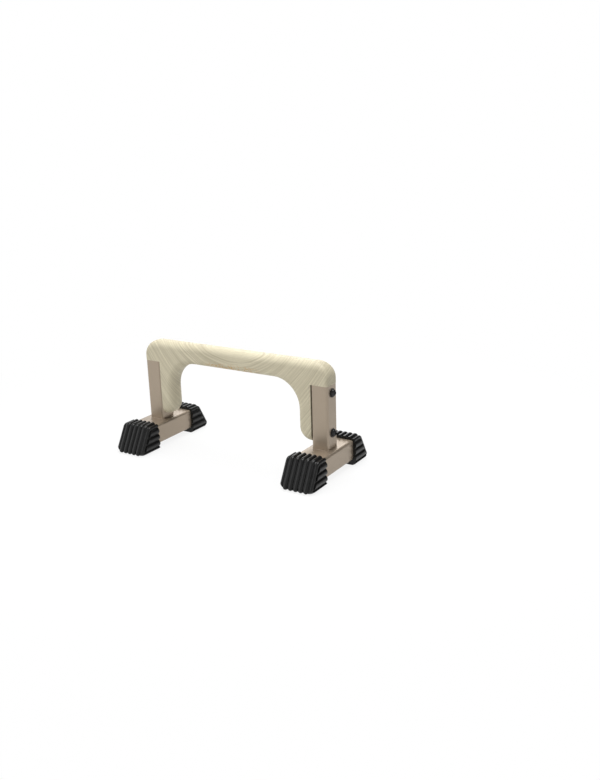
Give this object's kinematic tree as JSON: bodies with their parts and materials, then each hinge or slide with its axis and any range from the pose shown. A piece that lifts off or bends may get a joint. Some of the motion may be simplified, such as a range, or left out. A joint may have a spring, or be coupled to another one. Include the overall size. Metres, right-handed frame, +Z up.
{
  "type": "parallette bar",
  "caption": "Low parallette bar: a rounded wooden handle with two legs, screwed to square steel posts on base tubes with ribbed rubber feet, for floor gymnastics.",
  "frame": {"origin": "on the ground under the middle of the bar", "axes": "+X along the handle, +Y from front to back along the base tubes, +Z up"},
  "size_m": [0.4632, 0.2196, 0.2152],
  "materials": {
    "handle_wood": "sanded pale ash, oiled matt",
    "stand_paint": "taupe metallic powder coat, semi-gloss",
    "foot_rubber": "moulded black rubber, satin",
    "black_steel": "black oxide, satin",
    "insert_brass": "plain turned brass"
  },
  "bodies": {
    "root": {"handle": "handle_wood", "left_post": "stand_paint", "right_post": "stand_paint", "left_base_tube": "stand_paint", "right_base_tube": "stand_paint", "left_weld_bead": "stand_paint", "right_weld_bead": "stand_paint", "front_left_foot": "foot_rubber", "front_right_foot": "foot_rubber", "rear_left_foot": "foot_rubber", "rear_right_foot": "foot_rubber", "upper_left_screw": "black_steel", "lower_left_screw": "black_steel", "upper_right_screw": "black_steel", "lower_right_screw": "black_steel", "upper_left_washer": "black_steel", "lower_left_washer": "black_steel", "upper_right_washer": "black_steel", "lower_right_washer": "black_steel", "upper_left_insert": "insert_brass", "lower_left_insert": "insert_brass", "upper_right_insert": "insert_brass", "lower_right_insert": "insert_brass"}
  },
  "joints": []
}
